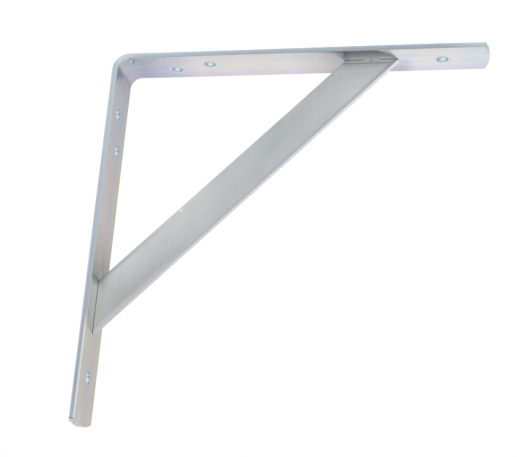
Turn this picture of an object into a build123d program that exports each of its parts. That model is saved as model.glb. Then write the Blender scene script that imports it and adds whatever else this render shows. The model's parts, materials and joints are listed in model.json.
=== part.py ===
from build123d import *
import math
import os

os.makedirs("parts", exist_ok=True)

# Frame: the wall face is the plane X = 0, the shelf face is level, and the width runs along Y.
# The origin is on the wall face, half way up the wall arm and on its centre line.

# Angle bar: one flat bar folded to a right angle
shelf_arm_length = 250.0        # wall face to the tip of the shelf arm
wall_arm_length = 250.0         # shelf face down to the tip of the wall arm
bar_width = 30.0
bar_thickness = 4.0
bar_edge_radius = 0.6           # rolled corners of the flat bar
bend_inner_radius = 8.0
end_radius = 35.0               # shallow arc that both tips are cut to

# Screw holes: each arm has a staggered pair near the fold and one hole near its tip
hole_diameter = 7.5
first_hole_distance = 40.5      # outer corner to the first hole, along either arm
second_hole_distance = 65.0
tip_hole_inset = 30.0           # tip of the arm back to its last hole
hole_stagger = 3.0              # how far the pair stands off the centre line

# Brace: a flat bar on edge across the corner, its ends cut to lie along the arms
brace_height = 25.0
brace_thickness = 5.0
brace_edge_radius = 1.0         # rolled long edges, the cut ends are sharp
brace_shelf_reach = 192.0       # wall face to the outer corner of the brace under the shelf arm
brace_wall_reach = 192.0        # shelf face down to its outer corner on the wall arm

# Welds: an oval nugget under each end of the brace
seat_gap = 0.2                  # the brace stands this far off the arms, on the nuggets
weld_length = 14.0
weld_rise = 1.4                 # middle of the whole oval, off the arm's face
bead_spread = 1.6               # the one under the shelf arm swells out this far on both sides
hidden_inset = 0.6              # the one on the wall arm stays this far in from the brace's sides

# Places worked out from the sizes
shelf_face_z = wall_arm_length / 2
shelf_underside_z = shelf_face_z - bar_thickness
wall_tip_z = shelf_face_z - wall_arm_length
bend_centre_radius = bend_inner_radius + bar_thickness / 2
tip_rise = end_radius - math.sqrt(end_radius**2 - (bar_width / 2) ** 2)
cut_margin = bar_thickness      # how far a cutting shape runs past the metal

# The brace in side view: its outer edge joins the two outer corners
seat_x = bar_thickness + seat_gap
seat_z = shelf_underside_z - seat_gap
shelf_corner = Vector(brace_shelf_reach, 0, seat_z)
wall_corner = Vector(seat_x, 0, shelf_face_z - brace_wall_reach)
brace_slope = math.atan2(shelf_corner.Z - wall_corner.Z, shelf_corner.X - wall_corner.X)
shelf_foot = brace_height / math.sin(brace_slope)     # length of the cut end under the shelf arm
wall_foot = brace_height / math.cos(brace_slope)      # length of the cut end on the wall arm

# Planes lying in the arms' inner faces, each with X running out towards the arm's tip
shelf_arm_plane = Plane(origin=(0, 0, shelf_underside_z), x_dir=(1, 0, 0), z_dir=(0, 0, 1))
wall_arm_plane = Plane(origin=(bar_thickness, 0, shelf_face_z), x_dir=(0, 0, -1), z_dir=(-1, 0, 0))


def tip_waste(arm_plane, arm_length):
    # what the shear takes off a square tip to leave the shallow arc
    blank = Pos(arm_length, 0) * Rectangle(4 * tip_rise, bar_width + 2 * cut_margin)
    disc = Pos(arm_length - end_radius, 0) * Circle(end_radius)
    waste = extrude(arm_plane * (blank - disc), amount=bar_thickness + cut_margin)
    return waste + extrude(arm_plane * (blank - disc), amount=-cut_margin)


def screw_holes(arm_plane, arm_length):
    # the two planes' sides are opposite, so the stagger runs on round the corner
    stations = [
        (first_hole_distance, hole_stagger),
        (second_hole_distance, -hole_stagger),
        (arm_length - tip_hole_inset, 0),
    ]
    drill = Cylinder(hole_diameter / 2, 2 * (bar_thickness + cut_margin))
    return [arm_plane * Pos(along, side, 0) * drill for along, side in stations]


def make_angle_bar():
    fold_line = FilletPolyline(
        (bar_thickness / 2, 0, wall_tip_z),
        (bar_thickness / 2, 0, shelf_face_z - bar_thickness / 2),
        (shelf_arm_length, 0, shelf_face_z - bar_thickness / 2),
        radius=bend_centre_radius,
    )
    section_plane = Plane(origin=fold_line @ 0, x_dir=(1, 0, 0), z_dir=(0, 0, 1))
    section = section_plane * RectangleRounded(bar_thickness, bar_width, bar_edge_radius)
    bar = sweep(section, path=fold_line)
    bar -= tip_waste(shelf_arm_plane, shelf_arm_length)
    bar -= tip_waste(wall_arm_plane, wall_arm_length)
    bar -= screw_holes(shelf_arm_plane, shelf_arm_length)
    bar -= screw_holes(wall_arm_plane, wall_arm_length)
    return bar


def make_brace():
    side_view = Polyline(
        (shelf_corner.X, shelf_corner.Z),
        (shelf_corner.X - shelf_foot, shelf_corner.Z),
        (wall_corner.X, wall_corner.Z + wall_foot),
        (wall_corner.X, wall_corner.Z),
        close=True,
    )
    brace = extrude(Plane.XZ * make_face(side_view), amount=brace_thickness / 2, both=True)
    run = (shelf_corner - wall_corner).normalized()
    rolled_edges = brace.edges().filter_by(lambda edge: abs(edge.tangent_at(0).dot(run)) > 0.999)
    return fillet(rolled_edges, brace_edge_radius)


def make_weld(arm_plane, foot_middle, half_width, brace):
    # half an oval lying on the arm's face, with the foot of the brace standing in it
    oval = scale(Sphere(1), by=(weld_length / 2, half_width, weld_rise))
    arm_metal = Pos(0, 0, weld_rise) * Box(2 * weld_length, 4 * half_width, 2 * weld_rise)
    return arm_plane * Pos(foot_middle, 0, 0) * (oval - arm_metal) - brace


angle_bar = make_angle_bar()
brace = make_brace()
shelf_foot_middle = brace_shelf_reach - shelf_foot / 2
wall_foot_middle = brace_wall_reach - wall_foot / 2
bead_half_width = brace_thickness / 2 + bead_spread
hidden_half_width = brace_thickness / 2 - hidden_inset
pieces = {
    "angle_bar": angle_bar,
    "brace": brace,
    "shelf_arm_weld": make_weld(shelf_arm_plane, shelf_foot_middle, bead_half_width, brace),
    "wall_arm_weld": make_weld(wall_arm_plane, wall_foot_middle, hidden_half_width, brace),
}

for name, solid in pieces.items():
    solid.label = name
    export_step(solid, f"parts/{name}.step")
    print(name, "volume", round(solid.volume, 1), "mm3")
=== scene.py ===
import bmesh
import bpy
import json
import math
from mathutils import Matrix, Vector, noise
from types import SimpleNamespace


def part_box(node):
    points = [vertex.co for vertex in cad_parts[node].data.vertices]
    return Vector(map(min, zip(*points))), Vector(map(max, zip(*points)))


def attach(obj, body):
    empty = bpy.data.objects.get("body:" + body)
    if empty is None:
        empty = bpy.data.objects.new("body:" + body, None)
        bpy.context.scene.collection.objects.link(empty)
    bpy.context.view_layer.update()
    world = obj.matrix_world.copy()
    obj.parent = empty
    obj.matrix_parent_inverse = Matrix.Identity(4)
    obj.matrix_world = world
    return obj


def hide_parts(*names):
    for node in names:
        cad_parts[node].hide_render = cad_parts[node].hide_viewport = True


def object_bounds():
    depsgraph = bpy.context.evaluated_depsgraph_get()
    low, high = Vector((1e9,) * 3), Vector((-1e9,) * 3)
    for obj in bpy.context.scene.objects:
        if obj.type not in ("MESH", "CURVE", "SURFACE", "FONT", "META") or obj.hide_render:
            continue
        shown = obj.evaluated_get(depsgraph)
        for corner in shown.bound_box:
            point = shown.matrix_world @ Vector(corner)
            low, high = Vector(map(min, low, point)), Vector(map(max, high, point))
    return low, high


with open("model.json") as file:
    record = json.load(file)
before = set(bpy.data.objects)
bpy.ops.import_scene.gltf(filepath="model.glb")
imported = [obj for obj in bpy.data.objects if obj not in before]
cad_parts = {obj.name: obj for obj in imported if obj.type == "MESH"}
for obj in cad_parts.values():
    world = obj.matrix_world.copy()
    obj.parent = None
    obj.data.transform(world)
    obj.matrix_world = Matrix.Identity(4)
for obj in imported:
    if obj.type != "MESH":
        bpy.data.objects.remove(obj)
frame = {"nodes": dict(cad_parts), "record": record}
cadLow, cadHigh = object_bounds()
cadNodes = frame["nodes"]
print("frame loaded:", ", ".join(sorted(cadNodes)))

mm = 0.001
braceLow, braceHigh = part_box("brace")
weldLow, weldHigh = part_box("shelf_arm_weld")
shelfFace = cadHigh.z
underside = weldHigh.z                    # the weld lies on the shelf arm's underside
barThickness = shelfFace - underside
halfWidth = (cadHigh.y - cadLow.y) / 2
armReach = cadHigh.x - cadLow.x
seatGap = underside - braceHigh.z         # between the shelf arm and the foot of the brace
bracePoints = [vertex.co for vertex in cadNodes["brace"].data.vertices]
onFoot = 0.1 * mm                         # a point this near the brace's box is on a foot
upperInner = min(point.x for point in bracePoints if point.z > braceHigh.z - onFoot)
lowerInner = max(point.z for point in bracePoints if point.x < braceLow.x + onFoot)
upperOuter, lowerOuter = braceHigh.x, braceLow.z
bores = [mount for mount in frame["record"]["mounts"] if mount["kind"] == "bore"]
print("bar thickness", round(barThickness / mm, 2), "mm,", len(bores), "screw holes")


# a few short helpers for shader trees
def addNode(tree, kind, **settings):
    node = tree.nodes.new("ShaderNode" + kind)
    for key, value in settings.items():
        setattr(node, key, value)
    return node


def feed(tree, socket, value):
    if isinstance(value, bpy.types.NodeSocket):
        tree.links.new(value, socket)
    else:
        socket.default_value = value


def calc(tree, operation, *values):
    node = addNode(tree, "Math", operation=operation)
    for socket, value in zip(node.inputs, values):
        feed(tree, socket, value)
    return node.outputs[0]


def times(tree, value, *others):
    for other in others:
        value = calc(tree, "MULTIPLY", value, other)
    return value


def restOf(tree, share):
    # what a share leaves of 1
    return calc(tree, "SUBTRACT", 1.0, share)


def fade(tree, value, start, end, low=0.0, high=1.0):
    node = addNode(tree, "MapRange", interpolation_type="SMOOTHSTEP")
    for socket, given in zip(node.inputs, (value, start, end, low, high)):
        feed(tree, socket, given)
    return node.outputs[0]


def blendColour(tree, amount, first, second, how="MIX"):
    node = addNode(tree, "Mix", data_type="RGBA", blend_type=how)
    feed(tree, node.inputs[0], amount)
    feed(tree, node.inputs[6], first)
    feed(tree, node.inputs[7], second)
    return node.outputs[2]


def tinted(tree, colour, tint, amount=1.0):
    return blendColour(tree, amount, colour, tint, "MULTIPLY")


def vectorMath(tree, operation, first, second=None, output="Value"):
    node = addNode(tree, "VectorMath", operation=operation)
    feed(tree, node.inputs[0], first)
    if second is not None:
        feed(tree, node.inputs[1], second)
    return node.outputs[output]


def stretched(tree, place, factors):
    return vectorMath(tree, "MULTIPLY", place, factors, "Vector")


def offsetFrom(tree, place, spot):
    return vectorMath(tree, "SUBTRACT", place, spot, "Vector")


def split(tree, vector):
    node = addNode(tree, "SeparateXYZ")
    feed(tree, node.inputs[0], vector)
    return node.outputs


def joined(tree, x, y):
    node = addNode(tree, "CombineXYZ")
    feed(tree, node.inputs[0], x)
    feed(tree, node.inputs[1], y)
    return node.outputs[0]


def cloud(tree, place, scale, detail=3.0, roughness=0.5, distortion=0.0):
    node = addNode(tree, "TexNoise")
    feed(tree, node.inputs["Vector"], place)
    node.inputs["Scale"].default_value = scale
    node.inputs["Detail"].default_value = detail
    node.inputs["Roughness"].default_value = roughness
    node.inputs["Distortion"].default_value = distortion
    return node.outputs["Fac"]


def srgb(red, green, blue):
    # the usual 0 to 255 numbers, as Blender's linear colour
    def linear(value):
        value /= 255
        return value / 12.92 if value <= 0.04045 else ((value + 0.055) / 1.055) ** 2.4
    return (linear(red), linear(green), linear(blue), 1.0)


def shades(*stops):
    # stops of a colour ramp: each is a position and a colour from 0 to 255
    return [(position, srgb(*colour)) for position, *colour in stops]


def ramp(tree, factor, stops):
    node = addNode(tree, "ValToRGB")
    band = node.color_ramp
    while len(band.elements) > 1:
        band.elements.remove(band.elements[-1])
    band.elements[0].position, band.elements[0].color = stops[0]
    for position, colour in stops[1:]:
        band.elements.new(position).color = colour
    feed(tree, node.inputs[0], factor)
    return node.outputs[0]


def bumpy(tree, height, strength, distance, under=None):
    node = addNode(tree, "Bump")
    node.inputs["Strength"].default_value = strength
    node.inputs["Distance"].default_value = distance
    feed(tree, node.inputs["Height"], height)
    if under:
        feed(tree, node.inputs["Normal"], under)
    return node.outputs[0]


def startMaterial(name):
    material = bpy.data.materials.new(name)
    material.use_nodes = True
    tree = material.node_tree
    return material, tree, tree.nodes["Principled BSDF"], addNode(tree, "TexCoord").outputs


def plateMetal(tree, shader, colour, roughness, normal=None):
    shader.inputs["Metallic"].default_value = 1.0
    feed(tree, shader.inputs["Base Color"], colour)
    feed(tree, shader.inputs["Roughness"], roughness)
    if normal:
        feed(tree, shader.inputs["Normal"], normal)


def dress(piece, material):
    piece.data.materials.clear()
    piece.data.materials.append(material)


patchy = (0.3, 0.7)                       # cloud values between which a surface goes from clean to dull

# bright zinc on the folded bar: glossy, with a blue, violet and straw bloom that runs along it
# places along the bar are in metres from the fold, with the wall arm below 0
barLook = {
    "gloss": (0.20, 0.30),                # roughness, clean and dull places
    "boreGloss": (0.28, 0.48),            # inside the screw holes, wall arm and shelf arm
    "lineScale": (60, 900, 1),            # rolling lines, along and across the bar
    "lineBump": (0.35, 0.010 * mm),       # their strength and depth
    "streakScale": (24, 85, 1),
    "patchScale": 55,                     # soft patches, which also push the borders of the colours about
    "pushAlong": 20 * mm,
    "pushAcross": 6 * mm,
    "foldBlend": 5 * mm,                  # one arm's colours pass into the other's over this, each way
    "edgeFacing": (0.35, 0.9),            # how far a surface has to turn aside to count as a narrow edge
    "innerDepth": (0.5, 0.9),             # and how deep in the thickness to count as an inner face
    # darker round the fold: painted shade in the bend
    "along": shades(
        (-0.250, 212, 211, 206), (-0.150, 219, 216, 209), (-0.070, 212, 208, 212), (-0.025, 200, 202, 217),
        (0.012, 164, 169, 184), (0.030, 188, 190, 208), (0.054, 217, 214, 216), (0.110, 218, 216, 216),
        (0.222, 223, 223, 226), (0.242, 210, 218, 229),
    ),
    "bloom": shades(                      # violet, straw and blue, over the streaks
        (0.30, 242, 240, 255), (0.46, 255, 252, 252), (0.58, 255, 252, 243), (0.70, 241, 249, 255),
    ),
    "bloomAmount": 0.7,
    "shelfAcross": shades(                # tints from the near edge to the far one
        (0.0, 246, 248, 250), (0.4, 255, 255, 252), (0.8, 253, 251, 255), (1.0, 245, 242, 255),
    ),
    "wallAcross": shades(
        (0.0, 255, 255, 249), (0.45, 250, 246, 253), (0.62, 243, 243, 250), (0.85, 252, 248, 238),
        (1.0, 251, 249, 241),
    ),
    "edge": shades(                       # the two narrow edges, along the bar
        (-0.243, 200, 212, 224), (-0.225, 191, 202, 214), (-0.120, 216, 227, 239), (-0.050, 230, 238, 246),
        (0.030, 228, 241, 246), (0.180, 207, 218, 228), (0.215, 210, 220, 229), (0.242, 240, 252, 255),
    ),
    "shelfEdgeShade": shades(                  # and painted shade and highlight over their thickness, from the inner face out
        (0.0, 228, 228, 230), (0.12, 220, 222, 226), (0.5, 228, 230, 234), (0.75, 244, 246, 246),
        (1.0, 255, 255, 255),
    ),
    "wallEdgeShade": shades(
        (0.0, 238, 240, 241), (0.18, 236, 238, 240), (0.38, 232, 233, 235), (0.85, 233, 234, 235),
        (1.0, 242, 243, 243),
    ),
    "innerCornerHighlight": {                        # painted highlight along the wall arm's inner corner, below the brace
        "colour": srgb(240, 240, 242), "start": 14 * mm, "depth": (0.42, 0.20),
    },
    "backCornerHighlight": {                           # painted highlight along the wall arm's back corner, from half way down
        "colour": srgb(240, 246, 246), "amount": 0.7, "height": (25 * mm, -30 * mm), "depth": (0.70, 0.95),
    },
    "bendHighlight": {                        # painted highlight on the edges round the bend
        "colour": srgb(240, 248, 252), "amount": 0.6, "start": -6 * mm, "end": (18 * mm, 5.4 * mm),
    },
    "bendRimHighlight": {                          # painted highlight on the inner face's rims, spread a little where the bar was folded
        "colour": srgb(200, 210, 216), "amount": 0.85, "width": (1.7 * mm, 0.85 * mm), "depth": (0.6, 1.0),
        "start": (-2 * mm, 3 * mm), "end": (30 * mm, 12 * mm),
    },
    "dentGlint": {                          # painted glint of a small dent in the bend, its ends off the wall and in from the near edge
        "colour": srgb(250, 252, 255), "halfWidth": (0.45 * mm, 0.135 * mm), "full": 0.6,
        "start": Vector((cadLow.x + 10.3 * mm, cadLow.y + 5.7 * mm, 0)),
        "end": Vector((cadLow.x + 13.8 * mm, cadLow.y + 1.0 * mm, 0)),
    },
    "wallTip": srgb(222, 226, 246),       # tint of the two sheared ends
    "shelfTip": srgb(255, 255, 255),
    "tipZone": (9 * mm, 8 * mm),          # how near the tip they are, and how far they face along the bar
    "tipFacing": (0.55, 0.85),
    "haloWidth": (2.4 * mm, 0.24 * mm),   # pale rings round the screw holes
    "haloAmount": 0.6,
    "shelfHalo": (0.9, srgb(196, 214, 236)),     # how oval the ring is, and its colour
    "wallHalo": (0.55, srgb(182, 207, 224)),
    # inside the holes over their depth: painted shade, and a painted white highlight deep in the wall arm's
    # holes
    "shelfBore": shades((0.0, 200, 217, 217), (0.35, 206, 220, 216), (0.75, 208, 218, 214)),
    "wallBore": shades((0.0, 186, 206, 208), (0.35, 204, 222, 222), (0.6, 252, 254, 252)),
    "boreRim": (0.15 * mm, 0.05 * mm),    # the bore's colour ends this far out on the face
    "breakout": 0.75 * mm,                # how far the punched hole flares towards its far side
    "shelfHeat": {
        # burnt bloom, darkened further as painted shade and reflection of the brace, on each side of the
        # brace's foot, out to the edge of the arm
        "burnAndShade": shades(
            (0.0, 246, 250, 252), (0.20, 232, 238, 244), (0.45, 208, 208, 214), (0.70, 184, 178, 184),
            (1.0, 172, 162, 168),
        ),
        "blend": "MULTIPLY",
        "drawBack": (0.55, 0.042 / mm),   # how its outer end runs back along the arm, away from the foot
        "softness": (-0.8 * mm, 0.8 * mm),
        "dullAndShade": shades(                   # dull metal with painted shade, from the foot's inner corner towards the fold
            (0.0, 204, 208, 208), (0.12, 209, 211, 212), (0.25, 219, 220, 221), (0.5, 237, 237, 238),
            (1.0, 255, 255, 255),
        ),
    },
    "wallHeat": {
        "burnAndShade": shades((0.0, 220, 228, 222), (0.4, 224, 228, 220), (1.0, 222, 225, 212)),
        "blend": "MIX",
        "drawBack": (0.3, 0.056 / mm),
        "softness": (0.0, 7 * mm),
        "dullAndShade": shades(
            (0.0, 190, 195, 194), (0.25, 212, 214, 214), (0.5, 234, 234, 235), (1.0, 255, 255, 255),
        ),
    },
    "dullAndShadeReach": 38 * mm,                 # how far the dull metal and painted shade run, past the foot's inner corner
    "dullAndShadeStart": (-7 * mm, 2 * mm),
    "dullAndShadePush": 8 * mm,
    "blueing": shades(                    # across the wall arm, over the nearer part of the dull and shaded reach
        (0.0, 255, 255, 240), (0.38, 246, 255, 248), (0.52, 206, 234, 252), (0.64, 232, 236, 252),
        (0.74, 255, 246, 248), (1.0, 250, 255, 236),
    ),
    "blueReach": 0.7,
    "darkRim": {                          # thin line along the shelf arm's edges, out of the burnt and shaded mark
        "colour": srgb(206, 196, 200), "start": (-2 * mm, 0.0), "end": (20 * mm, 1 * mm),
        "width": (2.2 * mm, 1.2 * mm),
    },
    "spotPush": 0.6,
    "spotCore": 0.15,                    # the part of its reach over which a spot is full
    "stainsShadeAndHighlight": [                           # blue and violet stains, painted shade and a painted highlight: place, reach in mm, colour, strength
        (Vector((upperInner - 2 * mm, -4.2 * mm, braceHigh.z)), (7.0, 4.6, 2.0), srgb(170, 188, 222), 0.75),
        # beside the upper foot's outer end: violet stain with painted shade beside the brace
        (Vector((upperOuter - 1 * mm, 11.0 * mm, braceHigh.z)), (13.5, 10.0, 2.0), srgb(180, 180, 199), 0.88),
        (Vector((upperOuter + 2 * mm, 2.0 * mm, braceHigh.z)), (8.0, 6.5, 2.0), srgb(183, 200, 217), 0.8),
        (Vector((barThickness, -0.5 * mm, lowerInner + 3 * mm)), (2.0, 4.5, 9.0), srgb(166, 188, 202), 0.6),
        # a painted bluish highlight by the wall arm's lower tip
        (Vector((barThickness, -8.0 * mm, cadLow.z + 5.5 * mm)), (2.0, 3.3, 8.0), srgb(202, 216, 238), 0.9),
    ],
}


def innerFaces(tree, at, depth):
    # 1 deeper than these shares of the thickness, under the shelf arm and inside the wall arm
    start, end = (share * barThickness for share in depth)
    return fade(tree, at.z, shelfFace - start, shelfFace - end), fade(tree, at.x, start, end)


def nearRims(tree, at, width):
    # 1 along both rims of a wide face
    outer, full = width
    return fade(tree, at.side, halfWidth - outer, halfWidth - full)


def barPlaces(tree, coords):
    # where a point lies on the bar, for all the layers below
    look = barLook
    at = SimpleNamespace(place=coords["Object"])
    at.x, at.y, at.z = split(tree, at.place)
    at.side = calc(tree, "ABSOLUTE", at.y)
    at.along = calc(tree, "SUBTRACT", calc(tree, "ADD", at.x, at.z), shelfFace)
    at.flat = joined(tree, at.along, at.y)
    at.normal = split(tree, coords["Normal"])
    at.onShelf = fade(tree, at.along, -look["foldBlend"], look["foldBlend"])
    at.onEdge = fade(tree, calc(tree, "ABSOLUTE", at.normal[1]), *look["edgeFacing"])
    at.onWide = restOf(tree, at.onEdge)
    at.underShelf, at.insideWall = innerFaces(tree, at, look["innerDepth"])
    at.patches = cloud(tree, at.place, look["patchScale"], detail=3, distortion=1.2)
    at.push = calc(tree, "SUBTRACT", at.patches, 0.5)
    pushed = calc(tree, "MULTIPLY_ADD", at.push, look["pushAcross"], at.y)
    at.across = fade(tree, pushed, -halfWidth, halfWidth)
    return at


def alongRamp(tree, along, stops):
    # a colour ramp whose stops are places along the bar
    share = calc(tree, "MULTIPLY_ADD", along, 0.5 / armReach, 0.5)
    return ramp(tree, share, [((spot + armReach) / (2 * armReach), shade) for spot, shade in stops])


def wideFaces(tree, at):
    look = barLook
    pushed = calc(tree, "MULTIPLY_ADD", at.push, look["pushAlong"], at.along)
    streaks = cloud(tree, stretched(tree, at.flat, look["streakScale"]), 1.0, detail=2, distortion=0.4)
    bloom = ramp(tree, streaks, look["bloom"])
    colour = tinted(tree, alongRamp(tree, pushed, look["along"]), bloom, look["bloomAmount"])
    wallTint = ramp(tree, at.across, look["wallAcross"])
    shelfTint = ramp(tree, at.across, look["shelfAcross"])
    return tinted(tree, colour, blendColour(tree, at.onShelf, wallTint, shelfTint))


def narrowEdges(tree, at):
    look = barLook
    above = calc(tree, "DIVIDE", calc(tree, "SUBTRACT", at.z, underside), barThickness)
    behind = calc(tree, "DIVIDE", calc(tree, "SUBTRACT", barThickness, at.x), barThickness)
    # painted shade and highlight over the edges' thickness
    wallShade = ramp(tree, behind, look["wallEdgeShade"])
    shelfShade = ramp(tree, above, look["shelfEdgeShade"])
    shade = blendColour(tree, at.onShelf, wallShade, shelfShade)
    colour = tinted(tree, alongRamp(tree, at.along, look["edge"]), shade)
    # painted highlight along the wall arm's inner corner, below the brace
    line = look["innerCornerHighlight"]
    lower = fade(tree, at.z, lowerOuter + line["start"], lowerOuter)
    colour = blendColour(tree, times(tree, lower, fade(tree, behind, *line["depth"])), colour, line["colour"])
    # painted highlight along the wall arm's back corner, lower down
    backCornerHighlight = look["backCornerHighlight"]
    lower = fade(tree, at.z, *backCornerHighlight["height"], 0.0, backCornerHighlight["amount"])
    atBack = fade(tree, behind, *backCornerHighlight["depth"])
    colour = blendColour(tree, times(tree, lower, atBack), colour, backCornerHighlight["colour"])
    # painted highlight on the edges round the bend
    shine = look["bendHighlight"]
    roundBend = fade(tree, at.along, shine["start"], 0.0, 0.0, shine["amount"])
    roundBend = times(tree, roundBend, fade(tree, at.along, *shine["end"]))
    return blendColour(tree, roundBend, colour, shine["colour"])


def bendRimHighlights(tree, at, colour):
    # painted highlight along the inner face's rims round the bend
    rim = barLook["bendRimHighlight"]
    insideFold = times(tree, *innerFaces(tree, at, rim["depth"]))
    spread = times(tree, fade(tree, at.along, *rim["start"]), fade(tree, at.along, *rim["end"]))
    amount = times(tree, nearRims(tree, at, rim["width"]), insideFold, spread, at.onWide, rim["amount"])
    return blendColour(tree, amount, colour, rim["colour"])


def shearedTips(tree, at, colour):
    look = barLook
    start, full = look["tipZone"]
    nearTip = fade(tree, calc(tree, "ABSOLUTE", at.along), armReach - start, armReach - full)
    endways = blendColour(tree, at.onShelf, at.normal[2], at.normal[0])
    facing = fade(tree, calc(tree, "ABSOLUTE", endways), *look["tipFacing"])
    tint = blendColour(tree, at.onShelf, look["wallTip"], look["shelfTip"])
    return tinted(tree, colour, tint, times(tree, nearTip, facing))


def boreDistance(tree, offset, axis, oval=1.0):
    # distance from a screw hole's axis, counted short along the bar for an oval ring
    alongX = (1 - abs(axis[0])) * (oval if axis[2] else 1)
    alongZ = (1 - abs(axis[2])) * (oval if axis[0] else 1)
    return vectorMath(tree, "LENGTH", stretched(tree, offset, (alongX, 1, alongZ)))


def screwHoles(tree, at, colour):
    # a pale blue ring on the face, and the punched wall inside, which flares as it goes through; inside,
    # painted shade, and deep in the wall arm's holes a painted highlight
    look = barLook
    flare = inBore = 0.0
    for bore in bores:
        axis = bore["axis"]
        arm = "shelf" if axis[2] else "wall"
        radius = bore["dims"]["r_mm"] * mm
        halfDeep = bore["dims"]["length_mm"] * mm / 2
        offset = offsetFrom(tree, at.place, bore["pos_m"])
        oval, haloColour = look[arm + "Halo"]
        halo = fade(tree, boreDistance(tree, offset, axis, oval), *(radius + w for w in look["haloWidth"]))
        colour = blendColour(tree, times(tree, halo, look["haloAmount"]), colour, haloColour)
        inside = fade(tree, boreDistance(tree, offset, axis), *(radius + w for w in look["boreRim"]))
        share = fade(tree, vectorMath(tree, "DOT_PRODUCT", offset, axis), halfDeep, -halfDeep)
        colour = blendColour(tree, inside, colour, ramp(tree, share, look[arm + "Bore"]))
        flare = calc(tree, "MAXIMUM", flare, times(tree, inside, restOf(tree, share)))
        inBore = calc(tree, "MAXIMUM", inBore, inside)
    return colour, flare, inBore


def bendDentGlint(tree, at, colour):
    # a painted glint of a small dent
    dentGlint = barLook["dentGlint"]
    run = dentGlint["end"] - dentGlint["start"]
    half = run.length / 2
    offset = offsetFrom(tree, at.place, dentGlint["start"])
    lengthOn = vectorMath(tree, "DOT_PRODUCT", offset, run.normalized())
    sideOff = vectorMath(tree, "DOT_PRODUCT", offset, Vector((-run.y, run.x, 0)).normalized())
    fromMiddle = calc(tree, "ABSOLUTE", calc(tree, "SUBTRACT", lengthOn, half))
    nearMiddle = fade(tree, fromMiddle, half, dentGlint["full"] * half)
    nearLine = fade(tree, calc(tree, "ABSOLUTE", sideOff), *dentGlint["halfWidth"])
    return blendColour(tree, times(tree, nearLine, nearMiddle, at.underShelf), colour, dentGlint["colour"])


def weldHeatAndShade(tree, at, colour):
    # burnt beside each foot of the brace, and dull from the foot's inner corner towards the fold: heat tint,
    # and under the shelf arm also painted shade and reflection of the brace
    look = barLook
    away = calc(tree, "MAXIMUM", calc(tree, "SUBTRACT", at.side, braceHigh.y), 0.0)     # off the brace's side
    outwards = fade(tree, away, 0.0, halfWidth - braceHigh.y)
    for arm, distance, sign, innerCorner, outerCorner, onInner in (
        ("shelf", at.x, 1, upperInner, upperOuter, at.underShelf),
        ("wall", at.z, -1, lowerInner, lowerOuter, at.insideWall),
    ):
        armHeatAndShade = look[arm + "Heat"]
        past = times(tree, calc(tree, "SUBTRACT", innerCorner, distance), sign)      # towards the fold
        short = times(tree, calc(tree, "SUBTRACT", outerCorner, distance), sign)     # in from the foot's end
        startCurve, growCurve = armHeatAndShade["drawBack"]
        drawnBack = times(tree, away, calc(tree, "MULTIPLY_ADD", away, growCurve, startCurve))
        within = calc(tree, "MINIMUM", times(tree, past, -1.0), calc(tree, "SUBTRACT", short, drawnBack))
        burntAndShaded = times(tree, fade(tree, within, *armHeatAndShade["softness"]), onInner, at.onWide)
        colour = blendColour(tree, burntAndShaded, colour, ramp(tree, outwards, armHeatAndShade["burnAndShade"]), armHeatAndShade["blend"])
        dullAndShade = ramp(tree, calc(tree, "DIVIDE", past, look["dullAndShadeReach"]), armHeatAndShade["dullAndShade"])
        if arm == "wall":
            close = restOf(tree, fade(tree, past, 0.0, look["blueReach"] * look["dullAndShadeReach"]))
            blue = blendColour(tree, close, srgb(255, 255, 255), ramp(tree, at.across, look["blueing"]))
            dullAndShade = tinted(tree, dullAndShade, blue)
        ragged = calc(tree, "MULTIPLY_ADD", at.push, look["dullAndShadePush"], past)
        dulledAndShaded = times(tree, fade(tree, ragged, *look["dullAndShadeStart"]), onInner, at.onWide)
        colour = tinted(tree, colour, dullAndShade, dulledAndShaded)
        if arm == "shelf":
            rim = look["darkRim"]
            lengthOn = times(tree, fade(tree, past, *rim["start"]), fade(tree, past, *rim["end"]))
            amount = times(tree, lengthOn, nearRims(tree, at, rim["width"]), onInner, at.onWide)
            colour = tinted(tree, colour, rim["colour"], amount)
    return colour


def heatStainsShadeAndHighlight(tree, at, colour):
    # stains, painted shade beside the upper foot, and a painted highlight by the wall arm's lower tip
    look = barLook
    for spot, reach, spotColour, strength in look["stainsShadeAndHighlight"]:
        offset = stretched(tree, offsetFrom(tree, at.place, spot), [1 / (r * mm) for r in reach])
        ragged = calc(tree, "MULTIPLY_ADD", at.push, look["spotPush"], vectorMath(tree, "LENGTH", offset))
        nearSpot = fade(tree, ragged, 1.0, look["spotCore"], 0.0, strength)
        colour = blendColour(tree, times(tree, nearSpot, at.onWide), colour, spotColour)
    return colour


def makeBrightZinc():
    look = barLook
    material, tree, shader, coords = startMaterial("brightZinc")
    at = barPlaces(tree, coords)
    colour = blendColour(tree, at.onEdge, wideFaces(tree, at), narrowEdges(tree, at))
    colour = bendRimHighlights(tree, at, colour)
    colour = shearedTips(tree, at, colour)
    colour, flare, inBore = screwHoles(tree, at, colour)
    colour = bendDentGlint(tree, at, colour)
    colour = weldHeatAndShade(tree, at, colour)
    colour = heatStainsShadeAndHighlight(tree, at, colour)
    gloss = fade(tree, at.patches, *patchy, *look["gloss"])
    boreGloss = fade(tree, at.along, -look["foldBlend"], look["foldBlend"], *look["boreGloss"])
    roughness = calc(tree, "MAXIMUM", gloss, times(tree, inBore, boreGloss))
    lines = cloud(tree, stretched(tree, at.flat, look["lineScale"]), 1.0, detail=4, roughness=0.6)
    rolled = bumpy(tree, lines, *look["lineBump"])
    plateMetal(tree, shader, colour, roughness, bumpy(tree, flare, 1.0, look["breakout"], rolled))
    return material


dress(cadNodes["angle_bar"], makeBrightZinc())
print("bar dressed")

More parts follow.
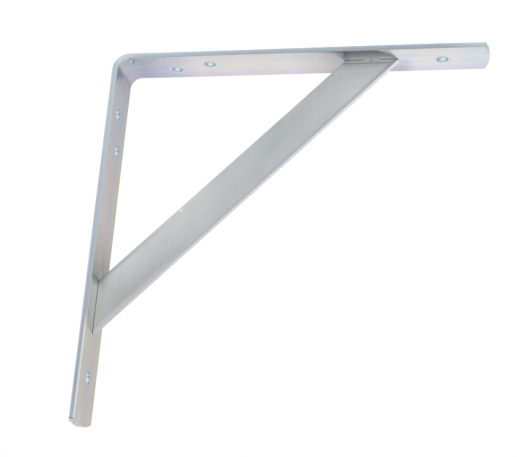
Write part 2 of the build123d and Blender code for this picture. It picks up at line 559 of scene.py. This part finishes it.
# matt zinc over the mill skin of the brace
braceLook = {
    "gloss": (0.34, 0.46),
    "face": srgb(235, 238, 239),
    "cloudScale": (28, 45, 1),            # broad clouds, upright streaks and fine speckle
    "uprightScale": (330, 0, 9),
    "uprightAmount": 0.25,
    "speckleScale": 900,
    "speckleAmount": 0.3,
    "speckleBump": (0.3, 0.03 * mm),
    "mottle": shades((0.30, 238, 240, 241), (0.5, 248, 249, 249), (0.70, 255, 255, 255)),
    "outerHalf": shades(                  # painted shade over the length, wall end first: by the outer edge
        (0.0, 228, 228, 226), (0.07, 218, 218, 216), (0.12, 214, 214, 213), (0.20, 220, 220, 219),
        (0.30, 233, 233, 232), (0.40, 237, 237, 237), (0.60, 233, 234, 235), (0.70, 228, 229, 230),
        (0.80, 242, 242, 243), (0.90, 250, 250, 251),
    ),
    "innerHalf": shades(                  # and by the inner one
        (0.0, 255, 255, 255), (0.20, 252, 252, 252), (0.40, 250, 250, 250), (0.50, 236, 237, 238),
        (0.80, 230, 231, 231), (0.90, 246, 246, 247),
    ),
    "outerSide": shades(                  # the narrow side that faces away from the corner
        (0.0, 190, 192, 198), (0.3, 206, 206, 208), (0.7, 212, 214, 218), (1.0, 226, 228, 234),
    ),
    "foot": shades(                       # shading under the shelf arm, over its reach down
        (0.0, 228, 235, 238), (0.04, 252, 254, 254), (0.12, 252, 254, 254), (0.18, 204, 208, 211),
        (0.26, 252, 255, 255), (1.0, 244, 247, 248),
    ),
    "footReach": 12 * mm,
    "footBlend": (1.0, 0.25),
    "rolledEdge": shades(                 # darker line beside the outer edge
        (0.0, 226, 231, 238), (0.15, 218, 223, 229), (0.35, 204, 210, 219), (1.0, 190, 198, 208),
    ),
    "rolledWidth": (4.48 * mm, 0.84 * mm),
    "ragged": 1.6 * mm,
    "lift": {                             # painted light by the lower foot
        "colour": srgb(250, 254, 251), "amount": 0.36, "reach": (14 * mm, 1.4 * mm),
    },
    "lowerEnd": (0.34, 0.16),             # share of the length over which the lower end begins
    "innerEdge": {                        # a darker line along the inner edge there
        "colour": srgb(228, 234, 239), "width": (2.6 * mm, 1.04 * mm),
    },
    "innerRoundHighlight": {                       # and a painted highlight above it, on the rolled edge itself
        "colour": srgb(255, 255, 255), "amount": 0.7, "facing": (-0.05, -0.5),
    },
    "outerFacing": (0.6, 0.9),
    "nick": {                             # bright knock near the inner edge
        "colour": srgb(255, 255, 255), "reach": (1.25 * mm, 0.625 * mm),
        "spot": Vector((braceLow.x + 50.1 * mm, braceLow.y, braceLow.z + 82.8 * mm)),
    },
}


def fromCorner(tree, place, direction):
    # distance from the brace's upper outer corner, in one direction
    return calc(tree, "SUBTRACT", vectorMath(tree, "DOT_PRODUCT", place, direction), braceHigh.dot(direction))


def makeMattZinc():
    look = braceLook
    material, tree, shader, coords = startMaterial("mattZinc")
    place = coords["Object"]
    run = Vector((braceHigh.x - braceLow.x, 0, braceHigh.z - braceLow.z)).normalized()
    inward = Vector((-run.z, 0, run.x))   # square to the brace, towards the corner
    span = (braceHigh.x - braceLow.x) / run.x
    fullBreadth = (upperOuter - upperInner) * run.z
    lengthwise = fromCorner(tree, place, run)
    breadth = fromCorner(tree, place, inward)
    lengthShare = calc(tree, "MULTIPLY_ADD", lengthwise, 1 / span, 1.0)
    lowerEnd = fade(tree, lengthShare, *look["lowerEnd"])

    # mottled skin, with painted shade over the length
    skin = joined(tree, lengthwise, breadth)
    clouds = cloud(tree, stretched(tree, skin, look["cloudScale"]), 1.0, detail=4)
    upright = cloud(tree, stretched(tree, place, look["uprightScale"]), 1.0, detail=2)
    speckle = cloud(tree, place, look["speckleScale"], detail=4, roughness=0.7)
    colour = tinted(tree, look["face"], ramp(tree, clouds, look["mottle"]))
    outerLengthShade = ramp(tree, lengthShare, look["outerHalf"])
    innerLengthShade = ramp(tree, lengthShare, look["innerHalf"])
    lengthShade = blendColour(tree, fade(tree, breadth, 0.0, fullBreadth), outerLengthShade, innerLengthShade)
    colour = tinted(tree, colour, lengthShade)
    colour = tinted(tree, colour, ramp(tree, upright, look["mottle"]), look["uprightAmount"])
    colour = tinted(tree, colour, ramp(tree, speckle, look["mottle"]), look["speckleAmount"])

    # shading below the shelf arm, and the darker rolled line
    x, y, z = split(tree, place)
    footShare = calc(tree, "DIVIDE", calc(tree, "SUBTRACT", braceHigh.z, z), look["footReach"])
    shaded = fade(tree, footShare, *look["footBlend"])
    colour = blendColour(tree, shaded, colour, ramp(tree, footShare, look["foot"]))
    raggedBreadth = calc(tree, "MULTIPLY_ADD", speckle, look["ragged"], breadth)
    beside = fade(tree, raggedBreadth, *look["rolledWidth"])
    colour = blendColour(tree, beside, colour, ramp(tree, lengthShare, look["rolledEdge"]))

    # painted light by the lower foot, with a darker line along the inner edge there
    lift = look["lift"]
    paintedFootLight = fade(tree, calc(tree, "SUBTRACT", x, braceLow.x), *lift["reach"], 0.0, lift["amount"])
    colour = blendColour(tree, paintedFootLight, colour, lift["colour"])
    inner = look["innerEdge"]
    toInner = calc(tree, "SUBTRACT", fullBreadth, raggedBreadth)
    beside = times(tree, fade(tree, toInner, *inner["width"]), lowerEnd)
    colour = tinted(tree, colour, inner["colour"], beside)

    # the narrow side, a painted highlight on the rolled inner edge, and the knock
    facing = vectorMath(tree, "DOT_PRODUCT", coords["Normal"], -inward)
    onOuter = fade(tree, facing, *look["outerFacing"])
    colour = blendColour(tree, onOuter, colour, ramp(tree, lengthShare, look["outerSide"]))
    roundHighlight = look["innerRoundHighlight"]
    onRound = fade(tree, facing, *roundHighlight["facing"], 0.0, roundHighlight["amount"])
    colour = blendColour(tree, times(tree, onRound, restOf(tree, lowerEnd)), colour, roundHighlight["colour"])
    nick = look["nick"]
    knocked = fade(tree, vectorMath(tree, "DISTANCE", place, nick["spot"]), *nick["reach"])
    colour = blendColour(tree, knocked, colour, nick["colour"])
    roughness = fade(tree, clouds, *patchy, *look["gloss"])
    plateMetal(tree, shader, colour, roughness, bumpy(tree, speckle, *look["speckleBump"]))
    return material


dress(cadNodes["brace"], makeMattZinc())
print("brace dressed")

# weld metal under the brace's upper foot, swelling out as a rippled bead on both sides
beadLook = {
    "ripples": 7,
    "rippleDepth": 0.10 * mm,
    "rippleBow": 0.35,                    # how much they bow back towards the start of the weld
    "unevenness": 0.16 * mm,
    "lumpScale": 900,
    "steps": (180, 56),
    "tone": shades((0.30, 150, 158, 160), (0.50, 208, 212, 213)),
    "toneScale": 420,
    "pitScale": 2600,
    "pitBump": (0.5, 0.03 * mm),
    "gloss": (0.30, 0.48),
}


def buildBead(name, low, high):
    # heights over an oval patch under the shelf arm: the foot of the brace cuts its top off flat
    look = beadLook
    stepsLong, stepsAcross = look["steps"]
    halfLong, halfAcross = (high.x - low.x) / 2, high.y
    rise = (high.z - low.z) / math.sqrt(1 - (braceHigh.y / halfAcross) ** 2)      # were the brace not there
    rings = []
    for i in range(stepsLong + 1):
        u = -math.cos(math.pi * i / stepsLong)
        reach = math.sqrt(max(1 - u * u, 0.0))
        ring = []
        for j in range(stepsAcross + 1):
            v = -math.cos(math.pi * j / stepsAcross)
            along, across = halfLong * u, halfAcross * reach * v
            height = rise * reach * math.sqrt(max(1 - v * v, 0.0))
            bowed = along + look["rippleBow"] * abs(across)
            ripple = abs(math.sin(math.pi * look["ripples"] * bowed / (2 * halfLong)))
            lump = noise.noise(Vector((along, across, rise)) * look["lumpScale"])
            worn = look["rippleDepth"] * (1 - ripple) + look["unevenness"] * abs(lump)
            height -= reach * (1 - v * v) * worn
            if abs(across) < braceHigh.y:
                height = min(height, seatGap)
            ring.append(((low.x + high.x) / 2 + along, across, max(height, 0.0)))
        rings.append(ring)
    return meshFromHeights(name, rings, high.z)


def meshFromHeights(name, rings, ceiling):
    # a closed skin: the given heights hang down, and the arm's flat face closes the top
    verts, faces = [], []
    count = len(rings[0])
    for ring in rings:
        verts += [(x, y, ceiling - height) for x, y, height in ring]
    top = len(verts)
    for ring in rings:
        verts += [(x, y, ceiling) for x, y, height in ring]
    for i in range(len(rings) - 1):
        for j in range(count - 1):
            corner = i * count + j
            quad = (corner, corner + 1, corner + count + 1, corner + count)
            faces.append(quad)
            faces.append(tuple(top + k for k in reversed(quad)))
    return newPiece(name, verts, faces)


def newPiece(name, verts, faces):
    # smooth mesh, with the doubled points welded and the faces turned outwards
    together = 0.0005 * mm
    mesh = bpy.data.meshes.new(name)
    mesh.from_pydata(verts, [], faces)
    skin = bmesh.new()
    skin.from_mesh(mesh)
    bmesh.ops.remove_doubles(skin, verts=skin.verts, dist=together)
    bmesh.ops.dissolve_degenerate(skin, edges=skin.edges, dist=together)
    bmesh.ops.recalc_face_normals(skin, faces=skin.faces)
    for polygon in skin.faces:
        polygon.smooth = True
    skin.to_mesh(mesh)
    skin.free()
    piece = bpy.data.objects.new(name, mesh)
    bpy.context.collection.objects.link(piece)
    return piece


def makePlatedWeld():
    look = beadLook
    material, tree, shader, coords = startMaterial("platedWeld")
    tone = cloud(tree, coords["Object"], look["toneScale"], detail=4)
    pits = cloud(tree, coords["Object"], look["pitScale"], detail=3)
    roughness = fade(tree, tone, *patchy, *look["gloss"])
    plateMetal(tree, shader, ramp(tree, tone, look["tone"]), roughness, bumpy(tree, pits, *look["pitBump"]))
    return material


platedWeld = makePlatedWeld()
bead = buildBead("shelfArmBead", weldLow, weldHigh)
dress(bead, platedWeld)
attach(bead, "root")
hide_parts("shelf_arm_weld")
dress(cadNodes["wall_arm_weld"], platedWeld)          # wholly under the lower foot
print("bead built,", len(bead.data.polygons), "faces")

# a drop of plating that set under the back corner of the lower tip
dropLook = {
    "spot": cadLow + Vector((1.2 * mm, 1.3 * mm, 2.4 * mm)),     # off the wall, the near edge and the tip
    "size": Vector((1.2 * mm, 1.3 * mm, 1.5 * mm)),              # half of it, each way
    "lumps": 0.16,
    "lumpScale": 1.7,
    "slimTop": 0.25,                      # fuller below than above
    "steps": 28,
    "tone": shades((0.40, 206, 208, 213), (0.60, 232, 234, 238)),
    "toneScale": 700,
    "gloss": (0.24, 0.34),
}


def buildDrop(name):
    look = dropLook
    count = 2 * look["steps"]
    verts, faces = [], []
    for i in range(look["steps"] + 1):
        tilt = math.pi * i / look["steps"]
        for j in range(count):
            turn = math.pi * j / look["steps"]
            way = Vector((math.sin(tilt) * math.cos(turn), math.sin(tilt) * math.sin(turn), math.cos(tilt)))
            lump = noise.noise(way * look["lumpScale"])
            swell = 1 + look["lumps"] * lump - look["slimTop"] * max(way.z, 0.0)
            verts.append(look["spot"] + Vector([a * b for a, b in zip(look["size"], way)]) * swell)
    for i in range(look["steps"]):
        for j in range(count):
            beside = (j + 1) % count
            faces.append((i * count + j, (i + 1) * count + j, (i + 1) * count + beside, i * count + beside))
    return newPiece(name, verts, faces)


def makeSetPlating():
    look = dropLook
    material, tree, shader, coords = startMaterial("setPlating")
    tone = cloud(tree, coords["Object"], look["toneScale"], detail=3)
    plateMetal(tree, shader, ramp(tree, tone, look["tone"]), fade(tree, tone, *patchy, *look["gloss"]))
    return material


drop = buildDrop("platingDrop")
dress(drop, makeSetPlating())
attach(drop, "root")
print("drop built,", len(drop.data.polygons), "faces")

# studio: a pale floor well below the bracket, one soft lamp overhead, and a white surround
studio = {
    "floorDrop": 0.6,
    "floorReach": 14.0,
    "floorColour": (0.86, 0.86, 0.86, 1.0),
    "floorRoughness": 0.9,
    "floorLift": 0.14,                    # brings the floor up to the white of the surround in the picture
    "mirrored": (0.60, 1.04),             # how the floor shows in bright metal: in front, and behind
    "mirrorSides": (-0.5, 0.1),           # where one passes into the other, in y
    "surroundColour": (1.0, 1.0, 1.0, 1.0),
    "surroundLight": 0.74,                # what the room gives from above
    "horizon": (0.02, 0.14),              # heights over which the white fades into the dimmer room above
    "glows": [                            # brighter walls of the room: direction, spread, extra strength
        (Vector((-0.80, -0.48, 0.26)), (0.80, 0.95), 0.2),
        (Vector((0.90, -0.36, 0.18)), (0.84, 0.96), 0.15),
    ],
    "lampSpot": Vector((0.1, -0.35, 1.7)),
    "lampSize": 1.2,
    "lampPower": 7.0,
}
middle = (cadLow + cadHigh) / 2


def layFloor():
    height = cadLow.z - studio["floorDrop"]
    bpy.ops.mesh.primitive_plane_add(size=2 * studio["floorReach"], location=(0, 0, height))
    floor = bpy.context.object
    floor.name = "floor"
    material, tree, shader, coords = startMaterial("paleFloor")
    shader.inputs["Base Color"].default_value = studio["floorColour"]
    shader.inputs["Roughness"].default_value = studio["floorRoughness"]
    rays = addNode(tree, "LightPath").outputs
    lift = addNode(tree, "Emission")
    feed(tree, lift.inputs["Strength"], times(tree, rays["Is Camera Ray"], studio["floorLift"]))
    seen = addNode(tree, "AddShader")
    feed(tree, seen.inputs[0], shader.outputs[0])
    feed(tree, seen.inputs[1], lift.outputs[0])
    white = addNode(tree, "Emission")
    across = split(tree, coords["Object"])[1]
    feed(tree, white.inputs["Strength"], fade(tree, across, *studio["mirrorSides"], *studio["mirrored"]))
    mixed = addNode(tree, "MixShader")
    feed(tree, mixed.inputs[0], calc(tree, "MAXIMUM", rays["Is Glossy Ray"], rays["Is Transmission Ray"]))
    feed(tree, mixed.inputs[1], seen.outputs[0])
    feed(tree, mixed.inputs[2], white.outputs[0])
    feed(tree, tree.nodes["Material Output"].inputs["Surface"], mixed.outputs[0])
    material.cycles.emission_sampling = "NONE"
    dress(floor, material)


def hangLamp(name):
    lamp = bpy.data.lights.new(name, "AREA")
    lamp.size = studio["lampSize"]
    lamp.energy = studio["lampPower"]
    holder = bpy.data.objects.new(name, lamp)
    bpy.context.collection.objects.link(holder)
    holder.location = studio["lampSpot"]
    holder.rotation_euler = (studio["lampSpot"] - middle).to_track_quat("Z", "Y").to_euler()


def lightSurround(name):
    world = bpy.data.worlds.new(name)
    bpy.context.scene.world = world
    world.use_nodes = True
    tree = world.node_tree
    background = tree.nodes["Background"]
    rays = addNode(tree, "LightPath").outputs
    direction = addNode(tree, "TexCoord").outputs["Generated"]
    height = split(tree, direction)[2]
    mirrored = calc(tree, "MAXIMUM", rays["Is Glossy Ray"], rays["Is Transmission Ray"])
    room = fade(tree, height, *studio["horizon"], 1.0, studio["surroundLight"])
    extraWhite = calc(tree, "SUBTRACT", room, studio["surroundLight"])
    strength = calc(tree, "MULTIPLY_ADD", mirrored, extraWhite, studio["surroundLight"])
    for toward, spread, extra in studio["glows"]:
        nearness = vectorMath(tree, "DOT_PRODUCT", direction, toward.normalized())
        strength = calc(tree, "ADD", strength, fade(tree, nearness, *spread, 0.0, extra))
    feed(tree, background.inputs["Color"], studio["surroundColour"])
    feed(tree, background.inputs["Strength"], calc(tree, "MAXIMUM", strength, rays["Is Camera Ray"]))


layFloor()
hangLamp("overheadSoftbox")
lightSurround("studioSurround")
print("studio set")

# camera: a little right of and below the bracket, as the photograph was taken
shot = {
    "azimuth": 12.0,
    "elevation": -18.68,
    "roll": 4.007,
    "distance": 0.6316,
    "slide": (-0.0158, -0.0008),          # right and up, so that the bracket sits where it does in the frame
    "lens": 71.22,
    "sensor": 36.0,
    "nearest": 0.01,
}


def aimCamera(name):
    turn, lift, roll = (math.radians(shot[key]) for key in ("azimuth", "elevation", "roll"))
    back = Vector((math.sin(turn) * math.cos(lift), -math.cos(turn) * math.cos(lift), math.sin(lift)))
    right = Vector((math.cos(turn), math.sin(turn), 0))
    up = back.cross(right)
    tiltedRight = right * math.cos(roll) + up * math.sin(roll)
    tiltedUp = up * math.cos(roll) - right * math.sin(roll)
    slideRight, slideUp = shot["slide"]
    nearMiddle = Vector((middle.x, cadLow.y, middle.z))
    spot = nearMiddle + back * shot["distance"] + tiltedRight * slideRight + tiltedUp * slideUp
    lensData = bpy.data.cameras.new(name)
    lensData.lens = shot["lens"]
    lensData.sensor_width = shot["sensor"]
    lensData.sensor_fit = "HORIZONTAL"
    lensData.clip_start = shot["nearest"]
    camera = bpy.data.objects.new(name, lensData)
    bpy.context.collection.objects.link(camera)
    facing = Matrix((tiltedRight, tiltedUp, back)).transposed().to_4x4()
    camera.matrix_world = Matrix.Translation(spot) @ facing
    return camera


bpy.context.scene.camera = aimCamera("productCamera")
bpy.context.scene.view_settings.view_transform = "Standard"
print("camera at", [round(v, 3) for v in bpy.context.scene.camera.location])
